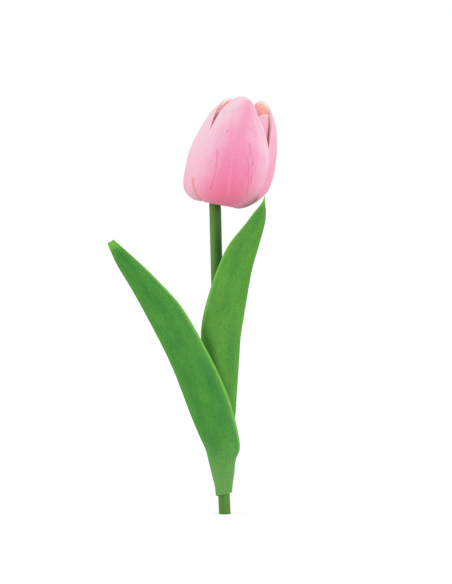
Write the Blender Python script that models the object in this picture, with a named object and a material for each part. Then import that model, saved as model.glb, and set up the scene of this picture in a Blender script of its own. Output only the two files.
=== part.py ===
"""An artificial tulip of moulded foam on a bendable wire stem.

Six foam petals stand round a core on the end of the wire. The wire runs down a plastic-coated stem,
and two foam leaves are wrapped round that stem. Units are metres and +Z is up. The origin is the centre
of the flat cut at the stem's lower end, and -Y is the flower's front.
"""

import math

import bmesh
import bpy
from mathutils import Matrix, Vector

MM = 0.001

# Stem: a wire in a coating that stands almost upright, bowed a little to the left.
STEM_HEIGHT = 0.178
STEM_RADIUS = 0.0034
STEM_LEAN = -0.0387
STEM_BOW = 0.0437
STEM_RINGS = 11
STEM_SIDES = 16
SMOOTH_ANGLE = math.radians(40)
WIRE_RADIUS = 0.001
WIRE_SIDES = 8
WIRE_GRIP = 0.011
FIT_GAP = 0.0003

# Head: its frame stands on the stem's end, leaning right and a little forward.
HEAD_LEAN = math.radians(16.5)
HEAD_NOD = math.radians(4.0)
HEAD_DRIFT = 0.0024
# The head's foot is levelled against the lean, and its right side sags between two places right of the axis.
HEAD_LEVELLING = 0.1
RIGHT_SAG = 0.0012
SAG_START = 0.008
SAG_END = 0.018
BELLY_HEIGHT = 0.018
PETAL_THICKNESS = 0.0014
PETAL_GAP = 0.0004
PETAL_COLUMNS = 10
PETAL_ROWS = (0, 0.05, 0.11, 0.18, 0.25, 0.32, 0.4, 0.48, 0.56, 0.64, 0.72, 0.8, 0.87)
TIP_ROW = 0.012
TIP_SPAN = 0.05
MERIDIAN_STEP = 0.002

# The outer petals' meridian, as radius and height in millimetres, from the core to the tips.
MERIDIAN = (
    (5.3, 1.7),
    (8.5, 0.7),
    (12.0, 0.2),
    (16.3, 2.0),
    (20.2, 5.1),
    (23.0, 9.8),
    (24.6, 15.3),
    (25.15, 21.5),
    (24.9, 28.5),
    (23.8, 35.5),
    (22.0, 43.0),
    (18.9, 51.5),
    (15.0, 57.8),
    (11.8, 61.8),
    (9.5, 64.6),
)

# Each petal's margins: share of its own length, then the azimuths of its left and right margin in
# degrees, seen from the front and counted from the front towards the right.
FRONT_MARGINS = (
    (0, -28, 50),
    (0.1, -29, 54),
    (0.18, -35, 56),
    (0.25, -42, 57),
    (0.32, -48, 57),
    (0.4, -51, 57),
    (0.55, -48.5, 57),
    (0.68, -47.5, 48.5),
    (0.78, -48.5, 38.5),
    (0.86, -49, 26),
    (0.93, -46.5, 17),
    (0.975, -40, 7),
    (1, -29, -12),
)
RIGHT_MARGINS = (
    (0, 52, 180),
    (0.25, 53, 184),
    (0.5, 56, 184),
    (0.68, 57.5, 180),
    (0.78, 57.5, 174),
    (0.87, 65, 169),
    (0.94, 82, 165),
    (0.975, 96, 160),
    (1, 112, 147),
)
LEFT_MARGINS = (
    (0, -184, -24),
    (0.12, -184, -25),
    (0.25, -184, -33),
    (0.4, -184, -42),
    (0.5, -184, -44),
    (0.68, -180, -53),
    (0.8, -170, -62),
    (0.87, -162, -68),
    (0.94, -150, -75),
    (0.975, -141, -86),
    (1, -124, -112),
)
INNER_MARGINS = (
    (0, -52, 52),
    (0.3, -57, 57),
    (0.6, -56, 56),
    (0.75, -50, 50),
    (0.85, -43, 43),
    (0.93, -35, 35),
    (0.975, -26, 26),
    (1, -15, 15),
)

# How far up the meridian each petal reaches, as a share of it.
OUTER_SHARES = {"front": 0.978, "right": 1.0, "left": 0.948}
INNER_SHARE = 0.896
INNER_AZIMUTHS = {"front_right": 60, "front_left": -63, "rear": 180}
# By how many layers each inner petal bulges out between two places up the meridian.
INNER_BULGES = {"front_right": 1.0, "front_left": 0, "rear": 0}
BULGE_START = 0.62
BULGE_END = 0.86
TUCK_MARGIN = 4
TUCK_RUN = 22

# Core: a cone that the petals' bases close round, with the pistil and the stamens on its top.
CORE_BASE = 0.0024
CORE_TOP = 0.0132
CORE_TOP_RADIUS = 0.0046
PISTIL_RADIUS = 0.0021
PISTIL_LENGTH = 0.0175
PISTIL_LOBES = 0.16
PISTIL_SWELL = 1.05
PISTIL_SIDES = 18
STAMEN_COUNT = 6
STAMEN_RING_HEIGHT = 0.0014
FILAMENT_RADIUS = 0.0005
FILAMENT_LENGTH = 0.012
ANTHER_RADIUS = 0.001
ANTHER_LENGTH = 0.006
STAMEN_SPREAD = 0.0028
STAMEN_CURVE = 1.5
STAMEN_RING_SIDES = 24

# The pistil's and the anthers' profiles: share of the length, then share of the radius.
PISTIL_PROFILE = (
    (0, 1.0),
    (0.2, PISTIL_SWELL),
    (0.45, 1.0),
    (0.65, 0.9),
    (0.78, 1.0),
    (0.88, 1.35),
    (0.96, 1.25),
    (1, 0.7),
)
ANTHER_PROFILE = ((0.12, 1.0), (0.6, 1.05), (1, 0.5))

# Leaves: each is one foam sheet whose foot is wrapped round the stem. A station is a height, how far the
# section's middle lies right of the stem's axis, its half width, how far its front stands off the ring
# that hugs the stem, all in millimetres, and half the angle that the section wraps, in degrees.
LEAF_THICKNESS = 0.0011
LEAF_COLUMNS = 8
FOOT_COLUMNS = 12
FRONT_LEAF = (
    (10.8, 0, 0, 0, 125),
    (16, 0, 0.4, 0.4, 120),
    (23, -0.1, 1.8, 1.8, 110),
    (31, -0.4, 3.2, 3.0, 92),
    (37, 0.2, 5.1, 4.0, 75),
    (44, -1.3, 6.4, 5.2, 58),
    (57, -4.9, 7.6, 7.2, 42),
    (70, -8.9, 8.0, 9.0, 36),
    (85, -14.6, 7.6, 11.0, 32),
    (102, -22.6, 7.2, 13.2, 30),
    (120, -32.2, 6.5, 15.5, 28),
    (132, -40.6, 4.5, 17.0, 26),
    (142, -48.3, 2.5, 18.2, 24),
    (149.5, -54.0, 0.1, 19.1, 20),
    (154.6, -57.7, -1.8, 19.7, 16),
    (157.0, -59.1, -3.2, 20.0, 12),
)
REAR_LEAF = (
    (23, 0, 0, 0, 125),
    (33, 0, 0.2, 0.1, 115),
    (45, 0.3, 1.0, 0.6, 92),
    (57, 1.4, 2.1, 1.4, 68),
    (70, 1.3, 3.5, 2.8, 55),
    (85, 1.1, 5.2, 4.8, 44),
    (102, 1.3, 6.6, 7.0, 38),
    (113, 3.0, 6.9, 8.6, 34),
    (123, 5.3, 6.5, 10.0, 31),
    (140, 10.1, 5.2, 12.5, 28),
    (154, 15.7, 3.9, 14.5, 25),
    (166, 22.4, 0.7, 16.5, 22),
    (172, 25.1, -1.3, 17.5, 18),
    (178, 27.4, -4.0, 18.4, 14),
    (181.6, 28.0, -4.6, 19.0, 10),
)
FRONT_LEAF_FOLD = 0.044
REAR_LEAF_FOLD = 0.104
LEAF_ROW = 0.009
FOOT_ROW = 0.0055

PETAL_PINK = (0.86, 0.30, 0.44)
INNER_PINK = (0.82, 0.26, 0.36)
LEAF_GREEN = (0.09, 0.36, 0.06)
STEM_GREEN = (0.11, 0.27, 0.07)
CORE_GREEN = (0.42, 0.55, 0.22)
STAMEN_YELLOW = (0.75, 0.52, 0.10)
WIRE_STEEL = (0.55, 0.55, 0.56)


def clear_scene():
    for item in list(bpy.data.objects):
        bpy.data.objects.remove(item, do_unlink=True)


def material(name, color, roughness, metallic=0.0):
    made = bpy.data.materials.new(name)
    made.use_nodes = True
    shader = made.node_tree.nodes["Principled BSDF"]
    shader.inputs["Base Color"].default_value = (*color, 1)
    shader.inputs["Roughness"].default_value = roughness
    shader.inputs["Metallic"].default_value = metallic
    return made


def flow(stations, at):
    """Read a station table at a place in its first column, along a smooth curve through the stations."""
    places = [station[0] for station in stations]
    last = len(places) - 1
    k = 0
    while k < last - 1 and at > places[k + 1]:
        k += 1
    span = places[k + 1] - places[k]
    t = min(max((at - places[k]) / span, 0), 1)

    def slope(i, column):
        low = max(i - 1, 0)
        high = min(i + 1, last)
        return (stations[high][column] - stations[low][column]) / (places[high] - places[low])

    read = []
    for column in range(1, len(stations[0])):
        a = stations[k][column]
        b = stations[k + 1][column]
        slope_a = slope(k, column) * span
        slope_b = slope(k + 1, column) * span
        read.append(
            a * (2 * t**3 - 3 * t**2 + 1)
            + slope_a * (t**3 - 2 * t**2 + t)
            + b * (3 * t**2 - 2 * t**3)
            + slope_b * (t**3 - t**2)
        )
    return read


def ease(value, low, high):
    t = min(max((value - low) / (high - low), 0), 1)
    return t * t * (3 - 2 * t)


def sheet(front, back):
    """Close two grids of points, with the front one's faces outward, into one solid sheet."""
    mesh = bmesh.new()
    rows = len(front)
    columns = len(front[0])
    fore = [[mesh.verts.new(point) for point in row] for row in front]
    aft = [[mesh.verts.new(point) for point in row] for row in back]
    for i in range(rows - 1):
        for j in range(columns - 1):
            mesh.faces.new((fore[i][j], fore[i][j + 1], fore[i + 1][j + 1], fore[i + 1][j]))
            mesh.faces.new((aft[i][j], aft[i + 1][j], aft[i + 1][j + 1], aft[i][j + 1]))
    for j in range(columns - 1):
        mesh.faces.new((fore[0][j + 1], fore[0][j], aft[0][j], aft[0][j + 1]))
        mesh.faces.new((fore[-1][j], fore[-1][j + 1], aft[-1][j + 1], aft[-1][j]))
    for i in range(rows - 1):
        mesh.faces.new((fore[i][0], fore[i + 1][0], aft[i + 1][0], aft[i][0]))
        mesh.faces.new((fore[i + 1][-1], fore[i][-1], aft[i][-1], aft[i + 1][-1]))
    return mesh


def ringed(rings, bore=None):
    """Skin rings of points from the lowest to the highest, with flat ends or with a bore's rings inside."""
    mesh = bmesh.new()

    def skin(loops, outward):
        made = [[mesh.verts.new(point) for point in loop] for loop in loops]
        sides = len(made[0])
        for low, high in zip(made, made[1:]):
            for j in range(sides):
                after = (j + 1) % sides
                corners = (low[j], low[after], high[after], high[j])
                mesh.faces.new(corners if outward else corners[::-1])
        return made

    outer = skin(rings, True)
    if bore is None:
        mesh.faces.new(outer[0][::-1])
        mesh.faces.new(outer[-1])
        return mesh
    inner = skin(bore, False)
    sides = len(outer[0])
    for j in range(sides):
        after = (j + 1) % sides
        mesh.faces.new((outer[0][after], outer[0][j], inner[0][j], inner[0][after]))
        mesh.faces.new((outer[-1][j], outer[-1][after], inner[-1][after], inner[-1][j]))
    return mesh


def circle(centre, radius, sides, across=Vector((1, 0, 0)), along=Vector((0, 1, 0))):
    turns = (2 * math.pi * k / sides for k in range(sides))
    return [centre + radius * (math.cos(turn) * across + math.sin(turn) * along) for turn in turns]


def place(name, mesh, look, parent=None, smooth=True):
    data = bpy.data.meshes.new(name)
    mesh.to_mesh(data)
    mesh.free()
    data.materials.append(look)
    if smooth:
        data.shade_smooth()
        data.set_sharp_from_angle(angle=SMOOTH_ANGLE)
    item = bpy.data.objects.new(name, data)
    bpy.context.scene.collection.objects.link(item)
    item.parent = parent
    return item


def empty(name, matrix):
    item = bpy.data.objects.new(name, None)
    item.matrix_world = matrix
    bpy.context.scene.collection.objects.link(item)
    return item


# Stem


def stem_axis(height):
    return Vector((STEM_LEAN * height + STEM_BOW * height * height, 0, height))


def head_frame():
    lean = Matrix.Rotation(HEAD_LEAN, 4, "Y")
    nod = Matrix.Rotation(HEAD_NOD, 4, "X")
    return Matrix.Translation(stem_axis(STEM_HEIGHT)) @ lean @ nod


def stem_heights():
    return [STEM_HEIGHT * k / (STEM_RINGS - 1) for k in range(STEM_RINGS)]


def make_stem_coating(look):
    bore = WIRE_RADIUS + FIT_GAP
    outer = [circle(stem_axis(z), STEM_RADIUS, STEM_SIDES) for z in stem_heights()]
    inner = [circle(stem_axis(z), bore, STEM_SIDES) for z in stem_heights()]
    return place("stem_coating", ringed(outer, inner), look)


def make_stem_wire(look):
    rings = [circle(stem_axis(z), WIRE_RADIUS, WIRE_SIDES) for z in stem_heights()[:-1]]
    frame = head_frame()
    up = frame.to_3x3() @ Vector((0, 0, 1))
    neck = stem_axis(STEM_HEIGHT)
    bisector = (up + Vector((0, 0, 1))).normalized()
    for centre, normal in (
        (neck, bisector),
        (neck + up * CORE_BASE, up),
        (neck + up * (CORE_BASE + WIRE_GRIP - 2 * FIT_GAP), up),
    ):
        across = Vector((0, 1, 0)).cross(normal).normalized()
        rings.append(circle(centre, WIRE_RADIUS, WIRE_SIDES, across, normal.cross(across)))
    return place("stem_wire", ringed(rings), look)


# Head


def meridian_table():
    """The meridian's stations by share of its length, with radius and height in metres."""
    lengths = [0.0]
    for (r0, h0), (r1, h1) in zip(MERIDIAN, MERIDIAN[1:]):
        lengths.append(lengths[-1] + math.hypot(r1 - r0, h1 - h0))
    return [(length / lengths[-1], r * MM, h * MM) for length, (r, h) in zip(lengths, MERIDIAN)]


def head_point(table, share, azimuth, depth):
    """A point on the flower's skin, sunk by depth, at a share of the meridian and an azimuth in degrees."""
    radius, height = flow(table, share)
    rise = ease(height, 0, BELLY_HEIGHT)
    r0, h0 = flow(table, max(share - MERIDIAN_STEP, 0))
    r1, h1 = flow(table, min(share + MERIDIAN_STEP, 1))
    run = math.hypot(r1 - r0, h1 - h0)
    radius -= depth * (h1 - h0) / run
    height += depth * (r1 - r0) / run
    turn = math.radians(azimuth)
    x = radius * math.sin(turn)
    y = -radius * math.cos(turn)
    height += HEAD_LEVELLING * x * (1 - rise) - RIGHT_SAG * ease(x, SAG_START, SAG_END) * (1 - rise) ** 2
    return Vector((x + HEAD_DRIFT * rise, y, height))


def petal_rows(length):
    inner = [row for row in PETAL_ROWS if row < length - TIP_SPAN]
    return inner + [(inner[-1] + length) / 2, length - TIP_ROW, length]


def make_petal(name, length, margins, layer, look, parent, turn=0):
    """A petal between its margins. layer gives how many layers deep it lies at a row and an azimuth."""
    table = meridian_table()
    front, back = [], []
    for row in petal_rows(length):
        left, right = flow(margins, row / length)
        azimuths = [left + (right - left) * k / PETAL_COLUMNS for k in range(PETAL_COLUMNS + 1)]
        depths = [layer(row, azimuth) * (PETAL_THICKNESS + PETAL_GAP) for azimuth in azimuths]
        places = list(zip(azimuths, depths))
        front.append([head_point(table, row, a + turn, depth) for a, depth in places])
        back.append([head_point(table, row, a + turn, depth + PETAL_THICKNESS) for a, depth in places])
    return place(name, sheet(front, back), look, parent)


def tucked_left(row, azimuth):
    """The left petal's front margin lies under the front petal's left margin."""
    edge = -flow(FRONT_MARGINS, row / OUTER_SHARES["front"])[0] + TUCK_MARGIN
    return 1 - ease(-azimuth, edge, edge + TUCK_RUN)


def tucked_right(row, azimuth):
    """The right petal lies under the front petal's right margin and under the left petal's rear one."""
    edge = flow(FRONT_MARGINS, row / OUTER_SHARES["front"])[1] + TUCK_MARGIN
    rear_edge = 360 + flow(LEFT_MARGINS, row / OUTER_SHARES["left"])[0] - TUCK_MARGIN
    return 1 - ease(azimuth, edge, edge + TUCK_RUN) + ease(azimuth, rear_edge - TUCK_RUN, rear_edge)


def make_petals(outer_look, inner_look, parent):
    outer = {
        "front": (FRONT_MARGINS, lambda row, azimuth: 0),
        "right": (RIGHT_MARGINS, tucked_right),
        "left": (LEFT_MARGINS, tucked_left),
    }
    for side, (margins, layer) in outer.items():
        make_petal(f"outer_petal_{side}", OUTER_SHARES[side], margins, layer, outer_look, parent)
    for side, turn in INNER_AZIMUTHS.items():
        make_petal(
            f"inner_petal_{side}",
            INNER_SHARE,
            INNER_MARGINS,
            lambda row, azimuth: 2 - INNER_BULGES[side] * ease(row, BULGE_START, BULGE_END),
            inner_look,
            parent,
            turn,
        )


def make_core(look, parent):
    """A turned cone that keeps its clearance to every petal's base, with a blind bore for the wire."""
    table = meridian_table()
    first = table[0][1] - FIT_GAP
    deepest = 2 * (PETAL_THICKNESS + PETAL_GAP) + PETAL_THICKNESS
    collar = head_point(table, 0, 180, deepest)
    bore = WIRE_RADIUS + FIT_GAP
    grip_end = CORE_BASE + WIRE_GRIP
    profile = [
        (first, CORE_BASE),
        (first, table[0][2] + PETAL_THICKNESS),
        (collar.y - 2 * FIT_GAP, collar.z),
        (CORE_TOP_RADIUS + FIT_GAP, CORE_TOP),
    ]
    top = max(CORE_TOP, grip_end + 2 * FIT_GAP)
    profile.append((CORE_TOP_RADIUS, top))
    up = Vector((0, 0, 1))
    mesh = ringed([circle(up * h, r, STEM_SIDES) for r, h in profile])
    core = place("core", mesh, look, parent)
    cutter_mesh = ringed([circle(up * h, bore, STEM_SIDES) for h in (-CORE_BASE, grip_end)])
    cutter = place("core_bore_cutter", cutter_mesh, look, parent)
    cutter.hide_render = True
    cutter.display_type = "WIRE"
    cut = core.modifiers.new("wire bore", "BOOLEAN")
    cut.operation = "DIFFERENCE"
    cut.object = cutter
    return top


def make_pistil(top, look, parent):
    """A three-sided column that flares into three rounded stigma lobes."""
    base = top + FIT_GAP
    rings = []
    for share, width in PISTIL_PROFILE:
        lobes = PISTIL_LOBES * (1 + share)
        ring = []
        for k in range(PISTIL_SIDES):
            turn = 2 * math.pi * k / PISTIL_SIDES
            radius = PISTIL_RADIUS * width * (1 + lobes * math.cos(3 * turn)) / (1 + lobes)
            out = Vector((math.cos(turn), math.sin(turn), 0))
            ring.append(radius * out + Vector((0, 0, base + PISTIL_LENGTH * share)))
        rings.append(ring)
    place("pistil", ringed(rings), look, parent)


def make_stamens(top, look, parent):
    """A ring that slips over the pistil's foot, and the six stamens moulded on it."""
    up = Vector((0, 0, 1))
    low = top + FIT_GAP
    high = low + STAMEN_RING_HEIGHT
    inner = PISTIL_RADIUS * PISTIL_SWELL + FIT_GAP
    outer = CORE_TOP_RADIUS
    walls = [[circle(up * h, r, STAMEN_RING_SIDES) for h in (low, high)] for r in (outer, inner)]
    ring = place("stamens", ringed(*walls), look, parent)
    stalks = bmesh.new()
    foot = high - STAMEN_RING_HEIGHT / 2
    knee = high + FILAMENT_LENGTH
    profile = [(h, FILAMENT_RADIUS) for h in (foot, high + FILAMENT_LENGTH / 2, knee)]
    profile += [(knee + share * ANTHER_LENGTH, width * ANTHER_RADIUS) for share, width in ANTHER_PROFILE]
    length = knee + ANTHER_LENGTH - foot
    for k in range(STAMEN_COUNT):
        turn = 2 * math.pi * (k + 0.5) / STAMEN_COUNT
        out = Vector((math.cos(turn), math.sin(turn), 0))
        loops = []
        for h, r in profile:
            spread = STAMEN_SPREAD * ((h - foot) / length) ** STAMEN_CURVE
            loops.append(circle(out * ((inner + outer) / 2 + spread) + up * h, r, WIRE_SIDES))
        one = ringed(loops)
        part = bpy.data.meshes.new("stalk")
        one.to_mesh(part)
        one.free()
        stalks.from_mesh(part)
        bpy.data.meshes.remove(part)
    tool = place("stamen_stalks", stalks, look, parent)
    tool.hide_render = True
    tool.display_type = "WIRE"
    join = ring.modifiers.new("stalks", "BOOLEAN")
    join.operation = "UNION"
    join.object = tool


# Leaves


def leaf_ring():
    return STEM_RADIUS + FIT_GAP + LEAF_THICKNESS


def leaf_section(stations, height, columns, layer):
    """The points across a leaf at one height, on its front face or one thickness behind it."""
    middle, half, stand_off, wrap = flow(stations, height / MM)
    angle = math.radians(wrap)
    half = leaf_ring() + half * MM
    radius = half / math.sin(min(angle, math.pi / 2))
    axis = stem_axis(height)
    centre_x = axis.x + middle * MM
    centre_y = radius - leaf_ring() - stand_off * MM
    depth = radius - layer * LEAF_THICKNESS
    turns = (angle * (2 * k / columns - 1) for k in range(columns + 1))
    return [
        Vector((centre_x + depth * math.sin(turn), centre_y - depth * math.cos(turn), height))
        for turn in turns
    ]


def make_leaf_piece(name, stations, low, high, row, columns, look, pivot=None):
    count = max(round((high - low) / row), 2)
    heights = [low + (high - low) * k / count for k in range(count + 1)]
    origin = pivot.matrix_world.translation if pivot else Vector()
    front, back = (
        [[point - origin for point in leaf_section(stations, z, columns, layer)] for z in heights]
        for layer in (0, 1)
    )
    return place(name, sheet(front, back), look, pivot)


def fold_pivot(name, stations, fold):
    """The living hinge lies across the leaf's front face at its fold."""
    across = leaf_section(stations, fold, 2, 0)
    return empty(name, Matrix.Translation(across[1]))


def make_leaf(name, stations, fold, look):
    bottom = stations[0][0] * MM
    tip = stations[-1][0] * MM
    pivot = fold_pivot(f"{name}_fold", stations, fold)
    bpy.context.view_layer.update()
    make_leaf_piece(f"{name}_foot", stations, bottom, fold - FIT_GAP / 2, FOOT_ROW, FOOT_COLUMNS, look)
    make_leaf_piece(f"{name}_blade", stations, fold + FIT_GAP / 2, tip, LEAF_ROW, LEAF_COLUMNS, look, pivot)


clear_scene()
petal_foam = material("petal foam", PETAL_PINK, 0.75)
inner_foam = material("inner petal foam", INNER_PINK, 0.75)
leaf_foam = material("leaf foam", LEAF_GREEN, 0.6)
coating = material("stem coating", STEM_GREEN, 0.5)
core_foam = material("core foam", CORE_GREEN, 0.7)
stamen_plastic = material("stamen plastic", STAMEN_YELLOW, 0.55)
steel = material("wire steel", WIRE_STEEL, 0.35, 1.0)

make_stem_coating(coating)
make_stem_wire(steel)
head = empty("head_pivot", head_frame())
make_petals(petal_foam, inner_foam, head)
core_top = make_core(core_foam, head)
make_pistil(core_top, core_foam, head)
make_stamens(core_top, stamen_plastic, head)
make_leaf("front_leaf", FRONT_LEAF, FRONT_LEAF_FOLD, leaf_foam)
make_leaf("rear_leaf", REAR_LEAF, REAR_LEAF_FOLD, leaf_foam)
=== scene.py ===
"""The looks of an artificial tulip: foam petals and leaves on a plastic-coated wire stem.

Every piece is made in metres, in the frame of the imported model, and in the order in which the flower is put
together: the stem, the core and what stands on it, the petals, the leaves, and last the studio round it.
"""

import math

import bpy
import numpy as np
from mathutils import Matrix, Vector, noise


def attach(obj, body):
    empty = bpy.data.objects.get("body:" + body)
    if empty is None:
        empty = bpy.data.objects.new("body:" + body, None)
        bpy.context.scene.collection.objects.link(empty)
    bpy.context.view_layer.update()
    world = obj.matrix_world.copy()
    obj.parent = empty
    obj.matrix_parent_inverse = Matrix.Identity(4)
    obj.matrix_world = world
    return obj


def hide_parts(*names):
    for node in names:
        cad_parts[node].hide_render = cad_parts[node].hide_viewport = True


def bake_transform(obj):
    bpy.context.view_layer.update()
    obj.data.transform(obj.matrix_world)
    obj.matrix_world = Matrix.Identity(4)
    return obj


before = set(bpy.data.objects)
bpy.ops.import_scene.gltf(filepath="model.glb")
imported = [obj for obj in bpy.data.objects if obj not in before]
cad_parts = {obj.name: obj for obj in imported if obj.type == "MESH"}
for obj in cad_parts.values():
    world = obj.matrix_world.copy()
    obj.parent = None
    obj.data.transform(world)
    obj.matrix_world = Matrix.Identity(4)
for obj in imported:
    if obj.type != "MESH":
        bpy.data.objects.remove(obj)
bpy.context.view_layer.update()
bpy.ops.object.select_all(action="DESELECT")


# Stem wire
# A length of 2 mm steel wire carries the flower. It is cut flush with the stem's lower end, bends under the
# head and is glued into the core.
MM = 0.001
STEM_HEIGHT = 0.178
STEM_LEAN = -0.0387
STEM_BOW = 0.0437
NECK_RUN = 0.0035
HEAD_LEAN = math.radians(16.5)
HEAD_NOD = math.radians(4.0)
WIRE_RADIUS = 0.001
WIRE_TOP = 0.0128
WIRE_SIDES = 16
WIRE_STEEL = (150, 150, 152)
WIRE_STEP = 0.002


def stem_axis(height):
    return Vector((STEM_LEAN * height + STEM_BOW * height * height, 0, height))


HEAD_PLACE = (
    Matrix.Translation(stem_axis(STEM_HEIGHT))
    @ Matrix.Rotation(HEAD_LEAN, 4, "Y")
    @ Matrix.Rotation(HEAD_NOD, 4, "X")
)


def ease(value, low, high):
    t = min(max((value - low) / (high - low), 0), 1)
    return t * t * (3 - 2 * t)


def along_stem(point):
    """Carry a point of a straight stem to the bowed one, which turns into the head's lean at the neck."""
    upright = stem_axis(point.z) + Vector((point.x, point.y, 0))
    leaning = HEAD_PLACE @ (point - Vector((0, 0, STEM_HEIGHT)))
    return upright.lerp(leaning, ease(point.z, STEM_HEIGHT - NECK_RUN, STEM_HEIGHT + NECK_RUN))


def drawn_up(name, sides, profile, filled=True):
    """Draw a round piece up from a circle, ring by ring, through pairs of radius and height."""
    radius, height = profile[0]
    fill = "NGON" if filled else "NOTHING"
    bpy.ops.mesh.primitive_circle_add(vertices=sides, radius=radius, fill_type=fill, location=(0, 0, height))
    piece = bpy.context.object
    piece.name = name
    bpy.ops.object.mode_set(mode="EDIT")
    for next_radius, next_height in profile[1:]:
        bpy.ops.mesh.extrude_region_move(TRANSFORM_OT_translate={"value": (0, 0, next_height - height)})
        size = next_radius / radius
        bpy.ops.transform.resize(value=(size, size, 1), center_override=(0, 0, next_height))
        radius, height = next_radius, next_height
    bpy.ops.mesh.select_all(action="SELECT")
    bpy.ops.mesh.normals_make_consistent(inside=False)
    bpy.ops.object.mode_set(mode="OBJECT")
    bpy.ops.object.transform_apply(location=True, rotation=True, scale=True)
    return piece


def move_points(piece, placed):
    for vertex in piece.data.vertices:
        vertex.co = placed(vertex.co.copy())
    piece.data.update()


def smooth(piece, degrees=40):
    bpy.ops.object.select_all(action="DESELECT")
    piece.select_set(True)
    bpy.context.view_layer.objects.active = piece
    bpy.ops.object.shade_smooth_by_angle(angle=math.radians(degrees))


def paint(red, green, blue):
    """A colour as a screen shows it, from 0 to 255, as the shaders count it."""
    shares = (value / 255 for value in (red, green, blue))
    return (*(s / 12.92 if s <= 0.04045 else ((s + 0.055) / 1.055) ** 2.4 for s in shares), 1)


def finish_named(name, color, roughness, **sockets):
    """A new material, with its plain values on the shader's own sockets."""
    made = bpy.data.materials.new(name)
    made.use_nodes = True
    shader = made.node_tree.nodes["Principled BSDF"]
    shader.inputs["Base Color"].default_value = paint(*color)
    shader.inputs["Roughness"].default_value = roughness
    for socket, value in sockets.items():
        shader.inputs[socket.replace("_", " ")].default_value = value
    return made


def node(look, kind, inputs=None, output=0, **options):
    """Add a node to a material, feed its inputs from sockets or plain values, and hand back an output."""
    made = look.node_tree.nodes.new("ShaderNode" + kind)
    for option, value in options.items():
        setattr(made, option, value)
    for socket, value in (inputs or {}).items():
        if isinstance(value, bpy.types.NodeSocket):
            look.node_tree.links.new(value, made.inputs[socket])
        else:
            made.inputs[socket].default_value = value
    return made if output is None else made.outputs[output]


def calc(look, operation, first, second=0.0, third=0.0):
    return node(look, "Math", {0: first, 1: second, 2: third}, operation=operation)


def between(look, value, low, high, to_low=0.0, to_high=1.0):
    """Ease a value from one range into another."""
    sockets = {"Value": value, "From Min": low, "From Max": high, "To Min": to_low, "To Max": to_high}
    return node(look, "MapRange", sockets, interpolation_type="SMOOTHSTEP")


def mixed(look, factor, first, second, mode="MIX"):
    """Mix two colours. The colour sockets of a Mix node are its seventh, eighth and third ones."""
    made = look.node_tree.nodes.new("ShaderNodeMix")
    made.data_type = "RGBA"
    made.blend_type = mode
    for socket, value in ((made.inputs[0], factor), (made.inputs[6], first), (made.inputs[7], second)):
        if isinstance(value, bpy.types.NodeSocket):
            look.node_tree.links.new(value, socket)
        else:
            socket.default_value = value
    return made.outputs[2]


def ramp(look, factor, stops):
    """A colour ramp through pairs of place and colour."""
    made = look.node_tree.nodes.new("ShaderNodeValToRGB")
    look.node_tree.links.new(factor, made.inputs[0])
    elements = made.color_ramp.elements
    elements[0].position, elements[0].color = stops[0][0], paint(*stops[0][1])
    elements[1].position, elements[1].color = stops[-1][0], paint(*stops[-1][1])
    for place, color in stops[1:-1]:
        elements.new(place).color = paint(*color)
    return made.outputs[0]


def grain(look, scale, detail=2.0, stretch=(1, 1, 1), vector=None):
    """Noise on the piece's own place in metres, or on a given vector, stretched if need be."""
    if vector is None:
        vector = node(look, "TexCoord", output="Object")
    vector = node(look, "Mapping", {"Vector": vector, "Scale": stretch})
    return node(look, "TexNoise", {"Vector": vector, "Scale": scale, "Detail": detail})


def cells_in(look, scale):
    """Round cells or grains on the piece's own place in metres."""
    return node(look, "TexVoronoi", {"Vector": node(look, "TexCoord", output="Object"), "Scale": scale})


def set_on(look, socket, value):
    shader = look.node_tree.nodes["Principled BSDF"]
    look.node_tree.links.new(value, shader.inputs[socket])


def emboss(look, height, strength, distance):
    made = node(look, "Bump", {"Height": height, "Strength": strength, "Distance": distance})
    set_on(look, "Normal", made)


def bend_at_neck(piece):
    """Bake the piece's placement into its mesh."""
    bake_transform(piece)


wire_length = STEM_HEIGHT + WIRE_TOP
wire_steps = round(wire_length / WIRE_STEP)
wire_rings = [(WIRE_RADIUS, wire_length * k / wire_steps) for k in range(wire_steps + 1)]
wire = drawn_up("wire", WIRE_SIDES, wire_rings)
move_points(wire, along_stem)
smooth(wire)
steel = finish_named("drawn steel", WIRE_STEEL, 0.35, Metallic=1.0)
drawn_lines = grain(steel, 900, stretch=(1, 1, 0.05))
set_on(steel, "Roughness", between(steel, drawn_lines, 0.2, 0.8, 0.26, 0.46))
set_on(steel, "Base Color", ramp(steel, drawn_lines, ((0.3, (128, 128, 130)), (0.7, (172, 172, 174)))))
wire.data.materials.append(steel)
bend_at_neck(wire)
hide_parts("stem_wire")


# Stem coating
# A tube of soft green plastic is drawn over the wire. It is cut off square at the lower end and runs into
# the dimple under the head, and its skin keeps the faint lines and bumps of the draw.
COATING_RADIUS = 0.0034
COATING_BORE = 0.00105
COATING_SIDES = 48
COATING_STEP = 0.0014
COATING_TOP = 0.0034
COATING_WAVE = 0.00007
COATING_WAVE_SCALE = Vector((150, 150, 45))
CUT_ROUNDING = 0.00018
SHARP_EDGE = math.radians(50)
# Painted shade on the stem's right side above the leaves, where the rear leaf and the head shade it: the
# heights between which it darkens and pales again, where it starts and ends across the stem in shares of its
# radius, its most, and how much of that is lost above.
PAINTED_SHADE_RISE = (0.112, 0.142)
PAINTED_SHADE_FALL = (0.150, 0.166)
PAINTED_SHADE_ACROSS = (-0.6, 0.5)
PAINTED_SHADE_MOST = 0.95
PAINTED_SHADE_LOSS = 0.35


def uneven_coating(point):
    """Swell the skin here and there, leave the bore true, and carry both to the bowed stem."""
    out = Vector((point.x, point.y, 0))
    if out.length > (COATING_BORE + COATING_RADIUS) / 2:
        swell = noise.noise(Vector(a * b for a, b in zip(point, COATING_WAVE_SCALE))) * COATING_WAVE
        point = point + out.normalized() * swell
    return along_stem(point)


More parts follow.
